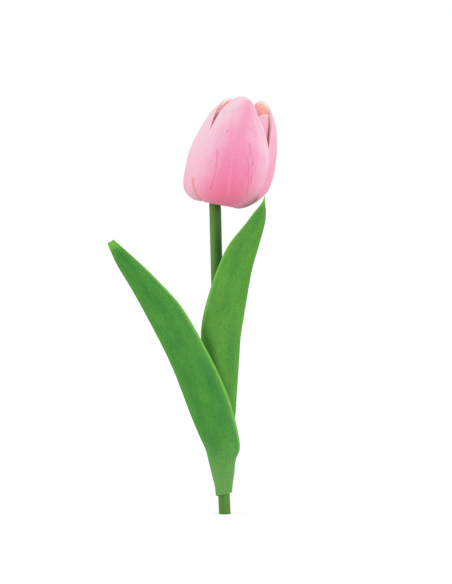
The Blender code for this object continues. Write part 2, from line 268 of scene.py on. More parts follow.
def apply(piece, kind, **settings):
    """Add a modifier with its settings and apply it."""
    bpy.context.view_layer.objects.active = piece
    made = piece.modifiers.new(kind.lower(), kind)
    for setting, value in settings.items():
        setattr(made, setting, value)
    bpy.ops.object.modifier_apply(modifier=made.name)


coating_length = STEM_HEIGHT + COATING_TOP
coating_steps = round(coating_length / COATING_STEP)
coating_rings = [(COATING_RADIUS, coating_length * k / coating_steps) for k in range(coating_steps + 1)]
coating = drawn_up("coating", COATING_SIDES, coating_rings, filled=False)
apply(coating, "SOLIDIFY", thickness=COATING_RADIUS - COATING_BORE, offset=-1, use_even_offset=True)
apply(coating, "BEVEL", width=CUT_ROUNDING, segments=2, limit_method="ANGLE", angle_limit=SHARP_EDGE)
# Painted shade: the stem's right side above the leaves is marked for darkening where the rear leaf and the
# head shade it.
painted_stem_shades = coating.data.attributes.new("painted_stem_shade", "FLOAT", "POINT").data
for vertex, mark in zip(coating.data.vertices, painted_stem_shades):
    shade_here = ease(vertex.co.z, *PAINTED_SHADE_RISE) * (1 - PAINTED_SHADE_LOSS * ease(vertex.co.z, *PAINTED_SHADE_FALL))
    mark.value = PAINTED_SHADE_MOST * shade_here * ease(vertex.co.x / COATING_RADIUS, *PAINTED_SHADE_ACROSS)
move_points(coating, uneven_coating)
smooth(coating)
stem_green = finish_named("stem plastic", (86, 132, 62), 0.58, Specular_IOR_Level=0.1)
draw_lines = grain(stem_green, 700, detail=3, stretch=(1, 1, 0.06))
patches = grain(stem_green, 120, detail=3, stretch=(1, 1, 0.35))
streaked = ramp(stem_green, draw_lines, ((0.3, (80, 126, 52)), (0.5, (90, 135, 60)), (0.72, (99, 144, 68))))
browned = between(stem_green, patches, 0.52, 0.74, 0.0, 0.3)
stem_color = mixed(stem_green, browned, streaked, paint(106, 126, 66))
painted_stem_shade = node(stem_green, "Attribute", output="Fac", attribute_name="painted_stem_shade")
# Painted shade: the coating turns dark green on its right side above the leaves.
set_on(stem_green, "Base Color", mixed(stem_green, painted_stem_shade, stem_color, paint(26, 80, 32)))
set_on(stem_green, "Roughness", between(stem_green, patches, 0.2, 0.8, 0.48, 0.64))
emboss(stem_green, calc(stem_green, "ADD", draw_lines, patches), 0.35, 0.0002)
coating.data.materials.append(stem_green)
bend_at_neck(coating)
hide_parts("stem_coating")


# Core
# A cone of pale green foam is pushed onto the wire's end with glue. The petals' bases close round it, so it
# only shows deep inside the flower.
CORE_PROFILE = (
    (1.3, 3.75),
    (4.5, 3.75),
    (4.72, 4.0),
    (4.75, 5.2),
    (4.6, 6.6),
    (4.75, 8.2),
    (4.9, 10.0),
    (4.9, 12.9),
    (4.6, 13.25),
    (2.6, 13.3),
)
CORE_SIDES = 48
CORE_ROUNDING = 0.0001

core = drawn_up("foam_core", CORE_SIDES, [(r * MM, h * MM) for r, h in CORE_PROFILE])
move_points(core, lambda point: HEAD_PLACE @ point)
apply(core, "BEVEL", width=CORE_ROUNDING, segments=2, limit_method="ANGLE", angle_limit=SHARP_EDGE)
smooth(core)
core_foam = finish_named("core foam", (196, 210, 146), 0.8, Sheen_Weight=0.2)
core_cells = cells_in(core_foam, 1800.0)
set_on(core_foam, "Base Color", ramp(core_foam, core_cells, ((0.1, (168, 186, 118)), (0.6, (202, 214, 154)))))
emboss(core_foam, core_cells, 0.5, 0.0001)
core.data.materials.append(core_foam)
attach(core, "head")
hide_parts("core")


# Pistil
# One moulded column of soft foam stands in the middle, pale green, three-sided, and flaring at the top into
# three rounded lobes with a grainy cream skin.
PISTIL_BASE = 0.0143
PISTIL_RADIUS = 0.0021
PISTIL_LENGTH = 0.0175
PISTIL_LOBES = 0.16
PISTIL_DIP = 0.03
PISTIL_DIP_START = 0.85
STIGMA_START = 0.74
STIGMA_BLEND = 0.001
PISTIL_SIDES = 54
PISTIL_PROFILE = (
    (0, 0.9),
    (0.02, 1.0),
    (0.1, 1.03),
    (0.2, 1.05),
    (0.32, 1.03),
    (0.45, 1.0),
    (0.55, 0.94),
    (0.65, 0.9),
    (0.72, 0.92),
    (0.78, 1.0),
    (0.83, 1.16),
    (0.88, 1.35),
    (0.92, 1.36),
    (0.96, 1.22),
    (0.985, 0.95),
    (1.0, 0.62),
)


def lobed(point):
    """Press the round column three-sided, more so towards its top, and dip the top between the lobes."""
    share = (point.z - PISTIL_BASE) / PISTIL_LENGTH
    lobes = PISTIL_LOBES * (1 + share)
    turn = math.atan2(point.y, point.x)
    width = (1 + lobes * math.cos(3 * turn)) / (1 + lobes)
    dip = PISTIL_LENGTH * PISTIL_DIP * (1 - math.cos(3 * turn)) * ease(share, PISTIL_DIP_START, 1)
    return HEAD_PLACE @ Vector((point.x * width, point.y * width, point.z - dip))


pistil_rings = [(PISTIL_RADIUS * w, PISTIL_BASE + PISTIL_LENGTH * s) for s, w in PISTIL_PROFILE]
pistil = drawn_up("pistil_column", PISTIL_SIDES, pistil_rings)
move_points(pistil, lobed)
smooth(pistil, 50)
pistil_foam = finish_named("pistil foam", (190, 205, 120), 0.65, Sheen_Weight=0.2)
stigma_height = (HEAD_PLACE @ Vector((0, 0, PISTIL_BASE + PISTIL_LENGTH * STIGMA_START))).z
pistil_place = node(pistil_foam, "TexCoord", output="Object")
pistil_height = node(pistil_foam, "SeparateXYZ", {0: pistil_place}, output="Z")
creamy = between(pistil_foam, pistil_height, stigma_height - STIGMA_BLEND, stigma_height + STIGMA_BLEND)
ribs = grain(pistil_foam, 500, stretch=(1, 1, 0.1))
column_color = ramp(pistil_foam, ribs, ((0.3, (150, 178, 84)), (0.7, (186, 205, 118))))
grains = cells_in(pistil_foam, 2600.0)
stigma_color = ramp(pistil_foam, grains, ((0.1, (214, 198, 128)), (0.6, (240, 228, 170))))
set_on(pistil_foam, "Base Color", mixed(pistil_foam, creamy, column_color, stigma_color))
emboss(pistil_foam, calc(pistil_foam, "MULTIPLY", grains, creamy), 0.8, 0.0002)
pistil.data.materials.append(pistil_foam)
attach(pistil, "head")
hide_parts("pistil")


# Stamens
# Six stamens are moulded in yellow plastic on one ring, which slips over the pistil's foot. Each is a thin
# filament that leans outward, with a furrowed anther full of pollen grains on its end.
STAMEN_COUNT = 6
STAMEN_RING_HEIGHT = 0.0014
STAMEN_RING_OUTER = 0.0046
STAMEN_RING_INNER = 0.0025
STAMEN_SIDES = 20
STAMEN_SPREAD = 0.0028
STAMEN_CURVE = 1.5
STAMEN_PROFILE = (
    (0.8, 0.7),
    (0.62, 1.3),
    (0.52, 2.2),
    (0.46, 6.0),
    (0.4, 10.0),
    (0.36, 12.9),
    (0.55, 13.2),
    (0.86, 13.8),
    (1.0, 14.9),
    (1.05, 16.4),
    (1.0, 17.9),
    (0.78, 19.0),
    (0.4, 19.4),
)
RING_ROUNDING = 0.0002
ANTHER_START = 0.0128
ANTHER_RUN = 0.0015
ANTHER_FURROW = 0.22
FURROW_SHARPNESS = 6

ring_middle = (STAMEN_RING_OUTER + STAMEN_RING_INNER) / 2
stamen_top = STAMEN_PROFILE[-1][1] * MM


def furrowed(point):
    """Press two furrows down an anther's sides."""
    depth = ANTHER_FURROW * ease(point.z, ANTHER_START, ANTHER_START + ANTHER_RUN)
    turn = math.atan2(point.y, point.x)
    width = 1 - depth * abs(math.sin(turn)) ** FURROW_SHARPNESS
    return Vector((point.x * width, point.y * width, point.z))


pollen = finish_named("stamen plastic", (208, 166, 62), 0.6)
pollen_cells = cells_in(pollen, 3200.0)
set_on(pollen, "Base Color", ramp(pollen, pollen_cells, ((0.05, (176, 128, 40)), (0.6, (222, 184, 84)))))
emboss(pollen, pollen_cells, 0.7, 0.00015)

ring_rings = ((STAMEN_RING_OUTER, 0), (STAMEN_RING_OUTER, STAMEN_RING_HEIGHT))
stamen_ring = drawn_up("stamen_ring", CORE_SIDES, ring_rings, filled=False)
wall = STAMEN_RING_OUTER - STAMEN_RING_INNER
apply(stamen_ring, "SOLIDIFY", thickness=wall, offset=-1, use_even_offset=True)
apply(stamen_ring, "BEVEL", width=RING_ROUNDING, segments=3, limit_method="ANGLE", angle_limit=SHARP_EDGE)
move_points(stamen_ring, lambda point: HEAD_PLACE @ (point + Vector((0, 0, PISTIL_BASE))))
smooth(stamen_ring)
stamen_ring.data.materials.append(pollen)
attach(stamen_ring, "head")
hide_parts("stamens")

for k in range(STAMEN_COUNT):
    stamen = drawn_up(f"stamen_{k + 1}", STAMEN_SIDES, [(r * MM, h * MM) for r, h in STAMEN_PROFILE])
    move_points(stamen, furrowed)
    round_ring = Matrix.Rotation(2 * math.pi * (k + 0.5) / STAMEN_COUNT, 4, "Z")

    def leaned(point):
        """Carry a point of an upright stamen to its place on the ring, leaning out as it rises."""
        spread = STAMEN_SPREAD * (point.z / stamen_top) ** STAMEN_CURVE
        return HEAD_PLACE @ round_ring @ (point + Vector((ring_middle + spread, 0, PISTIL_BASE)))

    move_points(stamen, leaned)
    smooth(stamen, 50)
    stamen.data.materials.append(pollen)
    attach(stamen, "head")


# Inner petals
# Three petals, each stamped from a foam sheet and moulded to a spoon's shape, stand in the inner layer with
# their middles at the gaps of the outer ones. The foam is sprayed pink outside and salmon inside after it is
# moulded.
PETAL_THICKNESS = 0.0014
LAYER_STEP = 0.0018
HEAD_DRIFT = 0.0024
HEAD_LEVELLING = 0.1
RIGHT_SAG = 0.0012
SAG_START = 0.008
SAG_END = 0.018
BELLY_HEIGHT = 0.018
MERIDIAN_STEP = 0.002
BASE_SHARE = -0.019
TIP_CROWDING = 1.5
TIP_ROUNDING = 0.012
TIP_WIDTH = 0.45
EDGE_CREASE = 0.55
SWELL = 0.00022
SWELL_SCALE = 62
# The spray thins from one angle off the petal's middle to another, in degrees. Each is given at the foot and
# by its change up to the tip. Strokes and clouds make it wander, and its middle turns between two heights.
SPRAY_DEEP_TO = (9.0, -16.0)
SPRAY_THIN_FROM = (75.0, -50.0)
SPRAY_STROKES = 22.0
SPRAY_CLOUDS = 24.0
SPRAY_TURN = (0.031, 0.042)
# How far light spreads through the foam, and the shares of the lining's half width where its pale border
# starts and is whole.
LIGHT_REACH = 0.008
LINING_BORDER = (0.93, 0.98)
# Each mark on the skin: its attribute, its colour, and its least and most share where the specks break it up.
# Of the marks, the midrib's is a painted highlight, the creases' and the slit's are painted shade, and the
# stain's is partly a stain and partly painted shade.
MARKS = (
    ("midrib_highlight", (250, 176, 205), (0.1, 0.5)),
    ("crease_shade", (230, 84, 134), (0.3, 1.0)),
    ("slit_shade", (238, 132, 136), (0.8, 1.0)),
    ("stain_and_shade", (158, 110, 112), (0.8, 1.0)),
)
MERIDIAN = (
    (5.3, 1.7),
    (8.5, 0.7),
    (12.0, 0.2),
    (16.3, 2.0),
    (20.2, 5.1),
    (23.0, 9.8),
    (24.6, 15.3),
    (25.15, 21.5),
    (24.9, 28.5),
    (23.8, 35.5),
    (22.0, 43.0),
    (18.9, 51.5),
    (15.0, 57.8),
    (11.8, 61.8),
    (9.5, 64.6),
)
INNER_MARGINS = (
    (0, -52, 52),
    (0.3, -57, 57),
    (0.6, -56, 56),
    (0.75, -50, 50),
    (0.85, -43, 43),
    (0.93, -35, 35),
    (0.975, -26, 26),
    (1, -15, 15),
)
INNER_SHARE = 0.896
INNER_AZIMUTHS = {"front_right": 60, "front_left": -63, "rear": 180}
INNER_BULGES = {"front_right": 1.0, "front_left": 0, "rear": 0}
BULGE_START = 0.62
BULGE_END = 0.86
INNER_GRID = (52, 60)


def flow(stations, at):
    """Read a station table at a place in its first column, along a smooth curve through the stations."""
    places = [station[0] for station in stations]
    last = len(places) - 1
    k = 0
    while k < last - 1 and at > places[k + 1]:
        k += 1
    span = places[k + 1] - places[k]
    t = min(max((at - places[k]) / span, 0), 1)

    def slope(i, column):
        low = max(i - 1, 0)
        high = min(i + 1, last)
        return (stations[high][column] - stations[low][column]) / (places[high] - places[low])

    read = []
    for column in range(1, len(stations[0])):
        a = stations[k][column]
        b = stations[k + 1][column]
        slope_a = slope(k, column) * span
        slope_b = slope(k + 1, column) * span
        read.append(
            a * (2 * t**3 - 3 * t**2 + 1)
            + slope_a * (t**3 - 2 * t**2 + t)
            + b * (3 * t**2 - 2 * t**3)
            + slope_b * (t**3 - t**2)
        )
    return read


def meridian_by_length():
    """The meridian's stations, in metres, by their share of its length."""
    lengths = [0.0]
    for (r0, h0), (r1, h1) in zip(MERIDIAN, MERIDIAN[1:]):
        lengths.append(lengths[-1] + math.hypot(r1 - r0, h1 - h0))
    return [(length / lengths[-1], r * MM, h * MM) for length, (r, h) in zip(lengths, MERIDIAN)]


MERIDIAN_TABLE = meridian_by_length()


def meridian_place(share):
    """Radius, height and direction of the flower's outline at a share of the meridian, on past its foot."""
    radius, height = flow(MERIDIAN_TABLE, max(share, 0))
    r0, h0 = flow(MERIDIAN_TABLE, max(share - MERIDIAN_STEP, 0))
    r1, h1 = flow(MERIDIAN_TABLE, min(max(share, 0) + MERIDIAN_STEP, 1))
    run = math.hypot(r1 - r0, h1 - h0)
    along = ((r1 - r0) / run, (h1 - h0) / run)
    if share < 0:
        foot, foot_height = flow(MERIDIAN_TABLE, MERIDIAN_STEP)
        short = share / MERIDIAN_STEP
        radius += (foot - radius) * short
        height += (foot_height - height) * short
    return radius, height, along


def head_point(place, azimuth, depth):
    """A point on the flower's skin at a place of the meridian and an azimuth in degrees, sunk by depth."""
    radius, height, along = place
    turn = math.radians(azimuth)
    master = Vector((radius * math.sin(turn), -radius * math.cos(turn), height))
    rise = ease(height, 0, BELLY_HEIGHT)
    depth = depth + noise.noise(master * SWELL_SCALE) * SWELL * rise
    radius -= depth * along[1]
    height += depth * along[0]
    x = radius * math.sin(turn)
    y = -radius * math.cos(turn)
    height += HEAD_LEVELLING * x * (1 - rise) - RIGHT_SAG * ease(x, SAG_START, SAG_END) * (1 - rise) ** 2
    return HEAD_PLACE @ Vector((x + HEAD_DRIFT * rise, y, height))


def foam_sheet(name, grid, surface, thickness, looks):
    """Mould a flat grid of foam over a surface, give it its thickness and soften its stamped edges.

    The three looks are the front skin's, the back skin's and the cut edge's.
    """
    columns, rows = grid
    bpy.ops.mesh.primitive_grid_add(x_subdivisions=columns, y_subdivisions=rows, size=1)
    piece = bpy.context.object
    piece.name = name
    move_points(piece, lambda point: surface(point.x + 0.5, point.y + 0.5))
    for look in looks:
        piece.data.materials.append(look)
    apply(
        piece,
        "SOLIDIFY",
        thickness=thickness,
        offset=-1,
        use_even_offset=True,
        use_quality_normals=True,
        material_offset=1,
        material_offset_rim=2,
        edge_crease_inner=EDGE_CREASE,
        edge_crease_outer=EDGE_CREASE,
    )
    apply(piece, "SUBSURF", levels=1, render_levels=1)
    smooth(piece, 60)
    return piece


def mark_away(piece, middle, lean, widening):
    """Mark how many degrees round the head each place lies from the middle of the spray.

    The middle leans to the left above the turn, and below it the spray reaches further to the right.
    """
    head_place = HEAD_PLACE.inverted()
    marks = piece.data.attributes.new("away", "FLOAT", "POINT").data
    for vertex, mark in zip(piece.data.vertices, marks):
        point = head_place @ vertex.co
        turn = math.degrees(math.atan2(point.x - HEAD_DRIFT, -point.y))
        high = ease(point.z, *SPRAY_TURN)
        away = (turn - middle + 180) % 360 - 180 + lean * high
        mark.value = abs(away) * (1 - widening * (1 - high) * (away > 0))


def petal(name, grid, reach, margins, layer_at, looks, spray, turn=0):
    """A petal between its margins. layer_at gives, at a share, how many layers deep each azimuth lies."""
    rows = {}

    def surface(across, along):
        key = round(along, 5)
        if key not in rows:
            share = BASE_SHARE + (reach - BASE_SHARE) * (1 - (1 - along) ** TIP_CROWDING)
            left, right = flow(margins, max(share, 0) / reach)
            short = min((reach - share) / TIP_ROUNDING, 1)
            narrow = TIP_WIDTH + (1 - TIP_WIDTH) * math.sqrt(1 - (1 - short) ** 2)
            middle, half = (left + right) / 2, (right - left) / 2 * narrow
            rows[key] = (meridian_place(share), middle, half, layer_at(max(share, 0)))
        place, middle, half, layer = rows[key]
        azimuth = middle + half * (2 * across - 1)
        return head_point(place, azimuth + turn, layer(azimuth) * LAYER_STEP)

    piece = foam_sheet(name, grid, surface, PETAL_THICKNESS, looks)
    mark_away(piece, *spray)
    return piece


def petal_skin(name, middle_stops, margin_stops):
    """Pink sprayed over the outside, deep along the petal's middle and thin towards its margins and tip."""
    look = finish_named(name, middle_stops[0][1], 0.62, Sheen_Weight=0.15, Sheen_Roughness=0.5)
    place = node(look, "UVMap", uv_map="UVMap")
    along = node(look, "SeparateXYZ", {0: place}, output="Y")
    away = node(look, "Attribute", output="Fac", attribute_name="away")
    strokes = grain(look, 1.0, detail=3, stretch=(20, 2.6, 1), vector=place)
    clouds = grain(look, 90, detail=3)
    specks = grain(look, 1000, detail=2)
    halfway = -(SPRAY_STROKES + SPRAY_CLOUDS) / 2
    cloudy = calc(look, "MULTIPLY_ADD", clouds, SPRAY_CLOUDS, halfway)
    uneven = calc(look, "MULTIPLY_ADD", strokes, SPRAY_STROKES, cloudy)
    deep_to = calc(look, "MULTIPLY_ADD", along, SPRAY_DEEP_TO[1], SPRAY_DEEP_TO[0])
    thin_from = calc(look, "MULTIPLY_ADD", along, SPRAY_THIN_FROM[1], SPRAY_THIN_FROM[0])
    thin = between(look, calc(look, "ADD", away, uneven), deep_to, thin_from)
    clouded = calc(look, "MULTIPLY_ADD", clouds, 0.12, calc(look, "ADD", along, -0.06))
    middle = ramp(look, clouded, middle_stops)
    color = mixed(look, thin, middle, ramp(look, along, margin_stops))
    speck_tint = ramp(look, specks, ((0.3, (244, 240, 242)), (0.5, (251, 250, 250)), (0.7, (255, 255, 255))))
    color = mixed(look, 0.6, color, speck_tint, "MULTIPLY")
    for mark, shade, shares in MARKS:
        amount = node(look, "Attribute", output="Fac", attribute_name=mark)
        broken = between(look, specks, 0.3, 0.7, *shares)
        color = mixed(look, calc(look, "MULTIPLY", amount, broken), color, paint(*shade))
    set_on(look, "Base Color", color)
    pores = grain(look, 3000, detail=2)
    emboss(look, calc(look, "MULTIPLY_ADD", specks, 0.6, pores), 0.22, 0.00012)
    return look


def petal_lining():
    """Salmon sprayed inside the petals, pale along its border and at the tip. The foam lets light through."""
    look = finish_named("petal lining", (248, 166, 156), 0.66, Subsurface_Weight=1.0)
    shader = look.node_tree.nodes["Principled BSDF"]
    shader.subsurface_method = "BURLEY"
    shader.inputs["Subsurface Radius"].default_value = (1.0, 1.0, 1.0)
    shader.inputs["Subsurface Scale"].default_value = LIGHT_REACH
    place = node(look, "UVMap", uv_map="UVMap")
    along = node(look, "SeparateXYZ", {0: place}, output="Y")
    from_middle = calc(look, "ABSOLUTE", calc(look, "MULTIPLY_ADD", along.node.outputs["X"], 2.0, -1.0))
    clouds = grain(look, 130, detail=3)
    uneven = calc(look, "ADD", along, calc(look, "MULTIPLY_ADD", clouds, 0.1, -0.05))
    border = between(look, from_middle, *LINING_BORDER, 0.0, 0.9)
    set_on(look, "Base Color", mixed(look, border, ramp(look, uneven, LINING_SALMONS), paint(253, 236, 228)))
    emboss(look, grain(look, 2600, detail=2), 0.22, 0.00012)
    return look


def cut_foam(name, color, shade, sprayed):
    """The raw foam along a stamped edge, with its open cells, tinted by the spray from its foot to tip."""
    look = finish_named(name, color, 0.8, Sheen_Weight=0.1)
    place = node(look, "UVMap", uv_map="UVMap")
    tint = ramp(look, node(look, "SeparateXYZ", {0: place}, output="Y"), sprayed)
    cells = cells_in(look, 2400.0)
    raw = ramp(look, cells, ((0.05, shade), (0.45, color)))
    set_on(look, "Base Color", mixed(look, 1.0, raw, tint, "MULTIPLY"))
    emboss(look, cells, 0.15, 0.0001)
    return look


FRONT_PINKS = (
    (0.0, (253, 118, 158)),
    (0.13, (251, 122, 162)),
    (0.25, (248, 126, 168)),
    (0.35, (245, 136, 178)),
    (0.48, (246, 151, 189)),
    (0.63, (247, 158, 190)),
    (0.78, (248, 156, 190)),
    (0.86, (249, 165, 197)),
    (1.0, (249, 190, 212)),
)
SIDE_PINKS = (
    (0.0, (242, 138, 168)),
    (0.2, (243, 160, 187)),
    (0.5, (246, 168, 196)),
    (0.75, (247, 184, 208)),
    (1.0, (249, 210, 223)),
)
MARGIN_PINKS = (
    (0.0, (242, 162, 184)),
    (0.13, (243, 178, 197)),
    (0.3, (246, 193, 212)),
    (0.45, (248, 204, 220)),
    (0.7, (249, 210, 224)),
    (1.0, (250, 221, 231)),
)
INNER_PINKS = (
    (0.0, (230, 136, 166)),
    (0.4, (240, 148, 178)),
    (0.8, (247, 166, 190)),
    (0.92, (249, 184, 198)),
    (1.0, (250, 214, 220)),
)
INNER_MARGIN_PINKS = (
    (0.0, (240, 158, 180)),
    (0.7, (247, 174, 194)),
    (0.9, (249, 186, 200)),
    (1.0, (251, 216, 221)),
)
LINING_SALMONS = (
    (0.0, (248, 156, 148)),
    (0.5, (250, 164, 156)),
    (0.74, (250, 168, 162)),
    (0.88, (248, 176, 170)),
    (0.97, (251, 212, 206)),
)
EDGE_TINTS = (
    (0.42, (247, 136, 158)),
    (0.58, (252, 182, 186)),
    (0.7, (255, 222, 214)),
    (0.85, (255, 252, 248)),
)
inner_skin = petal_skin("inner petal skin", INNER_PINKS, INNER_MARGIN_PINKS)
lining = petal_lining()
petal_edge = cut_foam("petal cut edge", (255, 251, 246), (254, 243, 238), EDGE_TINTS)

for side, turn in INNER_AZIMUTHS.items():

    def inner_layer(share):
        layer = 2 - INNER_BULGES[side] * ease(share, BULGE_START, BULGE_END)
        return lambda azimuth: layer

    inner = petal(
        f"inner_{side}",
        INNER_GRID,
        INNER_SHARE,
        INNER_MARGINS,
        inner_layer,
        (inner_skin, lining, petal_edge),
        (turn, 0, 0),
        turn,
    )
    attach(inner, "head")
    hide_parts(f"inner_petal_{side}")


# Outer petals
# Three larger petals of the same foam close round the inner ones. The left and right ones are glued on first,
# and the front one last, so that both its margins lie over theirs. Handling has left creases on its face.
FRONT_MARGINS = (
    (0, -28, 50),
    (0.1, -29, 54),
    (0.18, -35, 56),
    (0.25, -42, 57),
    (0.32, -48, 57),
    (0.4, -51, 57),
    (0.55, -48.5, 57),
    (0.68, -47.5, 48.5),
    (0.78, -48.5, 38.5),
    (0.86, -49, 26),
    (0.93, -46.5, 17),
    (0.975, -40, 7),
    (1, -29, -12),
)
RIGHT_MARGINS = (
    (0, 52, 180),
    (0.25, 53, 184),
    (0.5, 56, 184),
    (0.68, 57.5, 180),
    (0.78, 57.5, 174),
    (0.87, 65, 169),
    (0.94, 82, 165),
    (0.975, 96, 160),
    (1, 112, 147),
)
LEFT_MARGINS = (
    (0, -184, -24),
    (0.12, -184, -25),
    (0.25, -184, -33),
    (0.4, -184, -42),
    (0.5, -184, -44),
    (0.68, -180, -53),
    (0.8, -170, -62),
    (0.87, -162, -68),
    (0.94, -150, -75),
    (0.975, -141, -86),
    (1, -124, -112),
)
OUTER_SHARES = {"front": 0.978, "right": 1.0, "left": 0.948}
OUTER_GRIDS = {"front": (96, 104), "right": (76, 84), "left": (76, 84)}
TUCK_MARGIN = 4
TUCK_RUN = 22
# Each petal's spray: the azimuth of its middle and its lean to the left above the turn, in degrees, and by
# what share it reaches further to the right below it.
OUTER_SPRAYS = {"right": (82, 0, 0), "left": (-120, 0, 0), "front": (5, 3.5, 0.17)}

# Creases as seen from the front: points to the right of the stem's foot and above it, in millimetres, then
# the groove's depth and half width.
LEFT_CREASE = (
    (-4.0, 207.1),
    (-4.4, 201.5),
    (-4.9, 195.4),
    (-5.6, 192.0),
    (-6.5, 189.2),
    (-7.5, 187.0),
    (-8.1, 185.3),
)
CREASES = (
    (LEFT_CREASE, 0.14, 0.34),
    (((13.8, 211.2), (14.2, 207.2), (15.2, 204.4), (16.1, 201.1), (15.6, 198.4)), 0.1, 0.3),
    (((12.5, 202.7), (13.5, 198.0), (13.1, 195.4), (13.3, 189.8), (12.9, 184.8), (12.1, 182.0)), 0.14, 0.32),
    (((15.0, 193.5), (14.8, 190.5), (14.6, 188.0)), 0.1, 0.32),
    (((15.7, 200.4), (16.0, 199.8)), 0.16, 0.5),
    (((1.0, 217.3), (1.9, 218.4)), 0.1, 0.4),
)
CREASE_WANDER = 0.7
# How much of the darker pink painted into the creases as their shade is laid on; the grooves themselves are
# sunk into the mesh.
CREASE_SHADE_SHARE = 0.85
# The midrib's painted highlight and the slit's painted shade have one half width each. The brownish smudge,
# partly a stain and partly painted shade where the front and right petals meet at the foot, has a core and a
# halo, each with a share and a half width.
# Painted highlight: a pale line down the front petal's midrib, where a rib would catch the light.
MIDRIB_HIGHLIGHT = (((4.7, 207.1), (3.9, 200.3), (3.1, 193.1), (2.1, 185.8), (1.6, 181.3)), 0.45)
# Partly a stain and partly painted shade: a brownish-grey smudge near the head's lower right edge, where the
# front and right petals meet.
STAIN_AND_SHADE = ((11.4, 176.0), (13.3, 176.8), (15.0, 177.8), (16.7, 179.0), (18.2, 180.5))
STAIN_AND_SHADE_PARTS = ((0.75, 1.15), (0.3, 2.5))
# Painted shade: an orange line on the left petal along the front petal's lower left margin, the slit between
# them shaded and coloured as if light came through the foam.
SLIT_SHADE = (((-17.9, 191.9), (-17.7, 188.0), (-16.6, 185.2), (-15.5, 182.9), (-13.0, 179.9)), 0.7)
# Skin takes a mark where its normal points to the front, with a y below this.
FACING_FRONT = -0.15


def front_flat(share):
    return lambda azimuth: 0


def tucked_left(share):
    """The left petal's front margin lies under the front petal's left margin."""
    edge = -flow(FRONT_MARGINS, share / OUTER_SHARES["front"])[0] + TUCK_MARGIN
    return lambda azimuth: 1 - ease(-azimuth, edge, edge + TUCK_RUN)


def tucked_right(share):
    """The right petal lies under the front petal's right margin and under the left petal's rear one."""
    edge = flow(FRONT_MARGINS, share / OUTER_SHARES["front"])[1] + TUCK_MARGIN
    rear_edge = 360 + flow(LEFT_MARGINS, share / OUTER_SHARES["left"])[0] - TUCK_MARGIN
    return lambda azimuth: (
        1 - ease(azimuth, edge, edge + TUCK_RUN) + ease(azimuth, rear_edge - TUCK_RUN, rear_edge)
    )


def line_distance(points, x, z):
    """How far each place lies from a line of points."""
    nearest = np.full(len(x), np.inf)
    for (x0, z0), (x1, z1) in zip(points, points[1:]):
        dx, dz = x1 - x0, z1 - z0
        share = np.clip(((x - x0) * dx + (z - z0) * dz) / (dx * dx + dz * dz), 0, 1)
        nearest = np.minimum(nearest, np.hypot(x - x0 - share * dx, z - z0 - share * dz))
    return nearest


def press_creases(piece, side):
    """Sink the creases into a petal's front skin, and mark for its look the painted shade in them, the stain
    with its painted shade, the slit's painted shade and the midrib's painted highlight.
    """
    mesh = piece.data
    count = len(mesh.vertices)
    places = np.empty(count * 3)
    normals = np.empty(count * 3)
    mesh.vertices.foreach_get("co", places)
    mesh.vertex_normals.foreach_get("vector", normals)
    places = places.reshape(-1, 3)
    normals = normals.reshape(-1, 3)
    x, z = places[:, 0] / MM, places[:, 2] / MM
    facing = normals[:, 1] < FACING_FRONT
    crease_shade = np.zeros(count)
    sunk = np.zeros(count)
    for k, (points, depth, width) in enumerate(CREASES):
        wander = np.array([noise.noise((k, 0, height)) for height in z]) * CREASE_WANDER
        fall = np.exp(-((line_distance(points, x + wander, z) / width) ** 2)) * facing
        crease_shade = np.maximum(crease_shade, fall)
        sunk = np.maximum(sunk, fall * depth * MM)
    distance = line_distance(STAIN_AND_SHADE, x, z)
    stain_and_shade = sum(share * np.exp(-((distance / width) ** 2)) for share, width in STAIN_AND_SHADE_PARTS) * facing
    places -= normals * sunk[:, None]
    mesh.vertices.foreach_set("co", places.ravel())
    marks = {"crease_shade": crease_shade * CREASE_SHADE_SHARE, "stain_and_shade": stain_and_shade}
    for name, (points, width), marked in (("slit_shade", SLIT_SHADE, "left"), ("midrib_highlight", MIDRIB_HIGHLIGHT, "front")):
        marks[name] = np.exp(-((line_distance(points, x, z) / width) ** 2)) * facing * (side == marked)
    for name, values in marks.items():
        mesh.attributes.new(name, "FLOAT", "POINT").data.foreach_set("value", values)
    mesh.update()


outer_makes = {
    "right": (RIGHT_MARGINS, tucked_right, petal_skin("right petal skin", SIDE_PINKS, MARGIN_PINKS)),
    "left": (LEFT_MARGINS, tucked_left, petal_skin("left petal skin", SIDE_PINKS, MARGIN_PINKS)),
    "front": (FRONT_MARGINS, front_flat, petal_skin("front petal skin", FRONT_PINKS, MARGIN_PINKS)),
}
for side, (margins, layer_at, skin) in outer_makes.items():
    outer = petal(
        f"outer_{side}",
        OUTER_GRIDS[side],
        OUTER_SHARES[side],
        margins,
        layer_at,
        (skin, lining, petal_edge),
        OUTER_SPRAYS[side],
    )
    press_creases(outer, side)
    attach(outer, "head")
    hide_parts(f"outer_petal_{side}")


